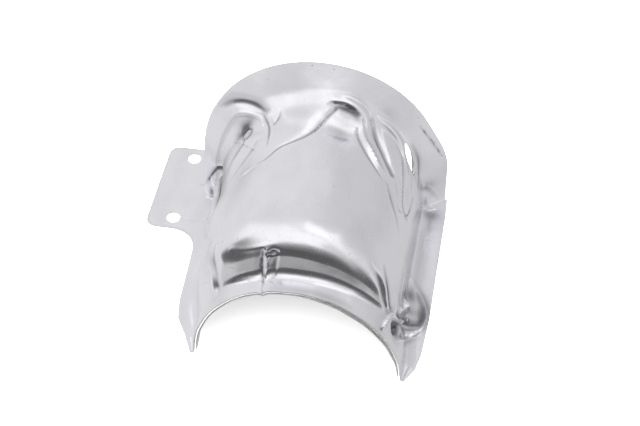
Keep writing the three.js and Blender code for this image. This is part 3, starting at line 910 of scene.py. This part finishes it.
def metal_material(name, clean, grimy_and_shaded, roughness, wear):
    """Rolled aluminium sheet: rolling lines, smears, scratches, pits, painted shade in creases and hollows,
    and rubbed edges.
    """
    material, graph, bsdf = new_material(name)
    where = graph.node("ShaderNodeTexCoord").outputs["Object"]
    smear = graph.ramp(graph.noise(where, 38, (1.0, 0.6, 1.0), 0.5, 4.0), 0.42, 0.66)
    cloud = graph.ramp(graph.noise(where, 14, detail=2.0, shift=0.31), 0.35, 0.65)
    rolling = graph.noise(where, 900, (1.0, 0.02, 1.0), 0.0, 2.0)
    scratch_a = graph.ramp(graph.noise(where, 700, (1.0, 0.035, 1.0), 0.35, 1.0, 0.2), 0.69, 0.74)
    scratch_b = graph.ramp(graph.noise(where, 600, (0.03, 1.0, 1.0), 0.22, 1.0, 0.5), 0.71, 0.76)
    scratches = graph.math("MAXIMUM", scratch_a, scratch_b)
    cells = graph.node("ShaderNodeTexVoronoi")
    graph.join(where, cells.inputs["Vector"])
    cells.inputs["Scale"].default_value = 150
    chosen = graph.math("GREATER_THAN", cells.outputs["Color"], 0.8)
    pits = graph.math("MULTIPLY", chosen, graph.ramp(cells.outputs["Distance"], 0.05, 0.09, 1.0, 0.0))
    # Grooves from the bend mark get painted crease shade in the colour; ridges take a little of that
    # darkening off.
    bend_here = graph.attribute("bend")
    groove = graph.ramp(bend_here, 0.04, 0.55)
    ridge = graph.ramp(bend_here, -0.08, -0.50)
    edge = graph.ramp(graph.attribute("rim"), 0.35, 0.95)

    # The darkening mixes real smears, pits and scratches with painted shade in grooves and in the
    # painted-shade hollows.
    grime_and_shade = graph.weighted(0.0, [(smear, 0.10), (groove, 0.55), (graph.attribute("dirt"), 1.0), (pits, 0.4),
                                (scratches, 0.06), (ridge, -0.2)], clamp=True)
    color = graph.blend(grime_and_shade, (*clean, 1), (*grimy_and_shaded, 1))
    color = graph.blend(graph.math("MULTIPLY", edge, 0.7), color, (*wear, 1))
    graph.join(color, bsdf.inputs["Base Color"])

    rough = graph.weighted(roughness, [(smear, 0.08), (cloud, 0.05), (groove, 0.12), (scratches, 0.12),
                                       (ridge, -0.05), (edge, 0.15)])
    graph.join(rough, bsdf.inputs["Roughness"])

    waves = graph.noise(where, 55, turn=0.3, detail=2.0)
    ripple = graph.noise(where, 160, turn=0.9, detail=2.0, shift=0.4)
    relief = graph.weighted(waves, [(ripple, 0.22), (rolling, 0.018), (scratches, -0.03), (pits, -0.25)])
    graph.join(graph.bump(relief, METAL_RELIEF), bsdf.inputs["Normal"])
    bsdf.inputs["Metallic"].default_value = 1.0
    return material


def felt_material(name):
    """Pressed mineral-fibre mat."""
    material, graph, bsdf = new_material(name)
    where = graph.node("ShaderNodeTexCoord").outputs["Object"]
    fibre_a = graph.noise(where, 1400, (1.0, 0.15, 1.0), 0.4, 3.0)
    fibre_b = graph.noise(where, 1200, (0.15, 1.0, 1.0), 1.1, 3.0, 0.3)
    fibres = graph.math("MAXIMUM", fibre_a, fibre_b)
    tufts = graph.noise(where, 220, detail=4.0, shift=0.6)
    shade = graph.math("MULTIPLY", graph.ramp(fibres, 0.4, 0.7), graph.ramp(tufts, 0.3, 0.7, 0.5, 1.0))
    color = graph.blend(shade, (0.34, 0.33, 0.31, 1), (0.72, 0.71, 0.68, 1))
    color = graph.blend(graph.math("MULTIPLY", graph.attribute("rim"), 0.4), color, (0.80, 0.79, 0.77, 1))
    graph.join(color, bsdf.inputs["Base Color"])
    graph.join(graph.ramp(tufts, 0.3, 0.7, 0.82, 0.98), bsdf.inputs["Roughness"])
    graph.join(graph.bump(graph.math("ADD", fibres, tufts), FELT_RELIEF), bsdf.inputs["Normal"])
    return material


# The second colour of each is the dark tone of grime and painted shade.
bright = metal_material("bright_sheet", (0.890, 0.883, 0.922), (0.19, 0.19, 0.21), 0.18, (0.74, 0.74, 0.76))
dull = metal_material("inner_sheet", (0.70, 0.70, 0.71), (0.30, 0.29, 0.28), 0.32, (0.80, 0.80, 0.81))
felt = felt_material("felt")


# ---------- pieces ----------

INNER_STEP = 2
INNER_OVERHANG = 1.6
INNER_SLOT_MARGIN = 1.5
INNER_SHOWS_FROM = (0.45, 0.70)
INNER_SHOWS_TO = (0.86, 0.96)

flat_points = pressed.reshape(-1, 3)
flat_normals = smooth_normals.reshape(-1, 3).copy()
flat_normals[(face[..., 2] <= SHEET + 1e-6).ravel()] = (0, 0, 1)

hood_points, hood_quads = cut_slot(flat_points, grid_sheet((0, ROWS - 1), (0, COLUMNS - 1)))
skin_points, skin_normals, skin_faces = tab_faces(hood_points, flat_normals, hood_quads)
grid_marks = (bend.ravel(), dirt.ravel())
skin_marks = [np.concatenate([mark, np.zeros(len(skin_points) - len(mark))]) for mark in grid_marks]
under_faces = paired_cells(hood_quads) + skin_faces[len(hood_quads):]
skin_sheet = Sheet(skin_points, skin_normals, skin_faces)
skin = skin_sheet.build("outer_sheet", OUTER, bright, skin_marks, under_faces=under_faces)
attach(skin, "root")
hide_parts("outer_skin")

# The two inner layers. The inner sheet shows below the outer one along the right half of the collar.
arch_block = (FIRST_ARCH + INNER_STEP, LAST_ARCH - INNER_STEP)
layers = (("felt_mat", MAT, (1, neck_row), felt, "insulation_mat", "fibre_mat"),
          ("inner_sheet", INNER, (0, neck_row), dull, "inner_skin", "inner_skin"))
for name, depths, rows, material, node, slot in layers:
    block = grid_sheet(rows, arch_block, INNER_STEP)
    layer_points, layer_quads = cut_slot(flat_points, block, INNER_SLOT_MARGIN)
    if rows[0] == 0:
        shown = smoothstep(arch_t, *INNER_SHOWS_FROM) * (1 - smoothstep(arch_t, *INNER_SHOWS_TO))
        layer_points[:, 1] -= (INNER_OVERHANG * lip_fade[:, None] * shown).ravel()
    layer_sheet = Sheet(layer_points, flat_normals, layer_quads.tolist())
    layer = layer_sheet.build(name, depths, material, grid_marks, edge_round=0.0)
    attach(layer, "root")
    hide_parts(node)

# ---------- stage ----------

def direction(azimuth, elevation=0.0):
    """Unit vector, from degrees; azimuth 0 is in front of the part (-Y), 90 on its right (+X)."""
    a, e = math.radians(azimuth), math.radians(elevation)
    return (math.sin(a) * math.cos(e), -math.cos(a) * math.cos(e), math.sin(e))


# Brightness of the room seen in reflections: (azimuth, elevation, half width, half height, softness, value),
# in degrees. Each entry is blended over those before it. The camera itself sees only the backdrop.
ROOM = [
    (-90, 30, 70, 32, 25, 1.00),
    (80, 30, 50, 30, 25, 0.84),
    (0, -50, 180, 46, 6, 0.80),
    (-90, -50, 60, 46, 20, 0.98),
    (10, 10, 65, 28, 12, 0.88),
    (0, -16, 25, 14, 8, 0.50),
    (-48, -16, 16, 14, 8, 0.78),
    (0, 88, 180, 20, 8, 1.12),
    (-84, 50, 30, 24, 9, 1.35),
    (105, 34, 20, 28, 8, 1.30),
    (138, 70, 36, 8, 6, 1.45),
    (-25, 60, 60, 14, 4, 1.40),
    (-10, 74, 84, 8, 7, 1.35),
]
ROOM_BASE = 0.93
BACKDROP = 1.25


def studio_world():
    world = bpy.data.worlds.new("studio")
    bpy.context.scene.world = world
    world.use_nodes = True
    tree = world.node_tree
    tree.nodes.clear()
    graph = Graph(tree)
    look = graph.node("ShaderNodeTexCoord").outputs["Generated"]
    climb = graph.math("ARCSINE", graph.dot(look, (0.0, 0.0, 1.0)))
    rad = math.radians
    total = ROOM_BASE
    for azimuth, elevation, half_width, half_height, soft, value in ROOM:
        ahead, right = direction(azimuth), direction(azimuth + 90)
        u = graph.math("ARCTAN2", graph.dot(look, right), graph.dot(look, ahead))
        v = graph.math("SUBTRACT", climb, rad(elevation))
        inside = graph.math("MULTIPLY", graph.window(u, rad(half_width), rad(soft)),
                            graph.window(v, rad(half_height), rad(soft)))
        total = graph.blend(inside, total, value, colors=False)
    from_camera = graph.node("ShaderNodeLightPath").outputs["Is Camera Ray"]
    seen = graph.blend(from_camera, total, BACKDROP, colors=False)
    background = graph.node("ShaderNodeBackground")
    graph.join(seen, background.inputs["Strength"])
    output = graph.node("ShaderNodeOutputWorld")
    graph.join(background.outputs[0], output.inputs[0])


studio_world()

# A wide soft light over the stage, without a glint of its own. Sizes here and of the floor are in metres.
FILL_SIZE = 2.4
FILL_POWER = 120
FILL_PLACE = (0.0, -0.2, 1.6)
fill_light = bpy.data.lights.new("floor_fill", "AREA")
fill_light.size = FILL_SIZE
fill_light.energy = FILL_POWER
fill = new_object("floor_fill", fill_light)
fill.location = FILL_PLACE
fill.rotation_euler = (-fill.location).to_track_quat("-Z", "Y").to_euler()
fill.visible_glossy = False

FLOOR_REACH = 6.0
floor_corners = [(x * FLOOR_REACH, y * FLOOR_REACH, 0) for x, y in ((-1, -1), (1, -1), (1, 1), (-1, 1))]
floor_mesh = bpy.data.meshes.new("floor")
floor_mesh.from_pydata(floor_corners, [], [(0, 1, 2, 3)])
floor = new_object("floor", floor_mesh)
floor.visible_glossy = False
floor_material, _, floor_bsdf = new_material("floor_paper")
floor_bsdf.inputs["Base Color"].default_value = (0.95, 0.95, 0.95, 1)
floor_bsdf.inputs["Roughness"].default_value = 0.9
floor_bsdf.inputs["Specular IOR Level"].default_value = 0.0
floor_bsdf.inputs["Emission Color"].default_value = (1, 1, 1, 1)
floor_bsdf.inputs["Emission Strength"].default_value = 0.35
floor_mesh.materials.append(floor_material)

# Two cards stand near the part and are seen only in reflections: a dark one round its front and a pale one
# behind its right side. Each has a path of (x, y, highest z), its lowest z, (share of its height, tone) from
# foot to top, and the shares of the path over which it fades in at the start and out at the end.
DARK_TONES = [(0.0, 0.30), (0.06, 0.10), (0.33, 0.09), (0.48, 0.18), (0.64, 0.36), (0.82, 0.70), (1.0, 1.0)]
DARK_PATH = [(-150, 32, 150), (-150, 14, 185), (-150, -45, 195), (-115, -80, 255), (115, -80, 295),
             (150, -45, 220), (150, 14, 190), (150, 52, 125)]
PALE_TONES = [(0.0, 0.61), (1.0, 0.67)]
PALE_PATH = [(50, 300, 620), (420, 300, 620), (420, 100, 620)]
CARD_STEPS = 12


def reflected_card(name, path, low, tones, fades):
    """A glowing strip that stands along the path and shows only in reflections."""
    corners = np.array(path, float)
    last = (len(path) - 1) * CARD_STEPS
    places = np.arange(last + 1)
    steps = np.stack([np.interp(places / CARD_STEPS, np.arange(len(path)), k) for k in corners.T], -1)
    verts = [(x, y, z) for x, y, top in steps for z in (low, top)]
    faces = [(2 * i, 2 * i + 2, 2 * i + 3, 2 * i + 1) for i in range(last)]
    fade = np.minimum(1, np.minimum(places / last / fades[0], (last - places) / last / fades[1]))
    mesh = bpy.data.meshes.new(name)
    mesh.from_pydata(to_row(verts).tolist(), [], faces)
    add_marks(mesh, climb=np.tile([0.0, 1.0], last + 1), fade=np.repeat(fade, 2))
    material, graph, _ = new_material(name)
    graph.tree.nodes.clear()
    ramp = graph.node("ShaderNodeValToRGB")
    ramp.color_ramp.interpolation = "EASE"
    while len(ramp.color_ramp.elements) < len(tones):
        ramp.color_ramp.elements.new(0.5)
    for stop, (place, tone) in zip(ramp.color_ramp.elements, tones):
        stop.position = place
        stop.color = (tone, tone, tone, 1)
    climb = graph.attribute("climb")
    graph.join(climb, ramp.inputs[0])
    glow = graph.node("ShaderNodeEmission")
    graph.join(ramp.outputs[0], glow.inputs["Color"])
    # The card fades out towards its top, its foot and its two ends.
    clear = graph.node("ShaderNodeBsdfTransparent")
    shown = graph.math("MULTIPLY", graph.ramp(climb, 0.70, 0.98, 1.0, 0.0), graph.ramp(climb, 0.0, 0.05))
    blend = graph.node("ShaderNodeMixShader")
    graph.join(graph.math("MULTIPLY", shown, graph.attribute("fade")), blend.inputs[0])
    graph.join(clear.outputs[0], blend.inputs[1])
    graph.join(glow.outputs[0], blend.inputs[2])
    graph.join(blend.outputs[0], graph.node("ShaderNodeOutputMaterial").inputs[0])
    mesh.materials.append(material)
    card = new_object(name, mesh)
    card.visible_camera = False
    card.visible_diffuse = False
    card.visible_shadow = False


reflected_card("dark_card", DARK_PATH, 50.0, DARK_TONES, (0.1, 0.1))
reflected_card("pale_card", PALE_PATH, 20.0, PALE_TONES, (0.08, 0.2))

# ---------- camera ----------

CAMERA_AZIMUTH = 10
CAMERA_ELEVATION = 46
CAMERA_LENS = 87.19
CAMERA_PLACE = (114.2, -565.4, 729.5)

camera_data = bpy.data.cameras.new("camera")
camera_data.lens = CAMERA_LENS
camera_data.sensor_width = 36
camera = new_object("camera", camera_data)
back = Vector(direction(CAMERA_AZIMUTH, CAMERA_ELEVATION))
right = Vector(direction(CAMERA_AZIMUTH + 90))
turn = Matrix((right, back.cross(right), back)).transposed().to_4x4()
camera.matrix_world = Matrix.Translation(Vector(to_row(CAMERA_PLACE))) @ turn
bpy.context.scene.camera = camera
bpy.context.scene.view_settings.view_transform = "Standard"
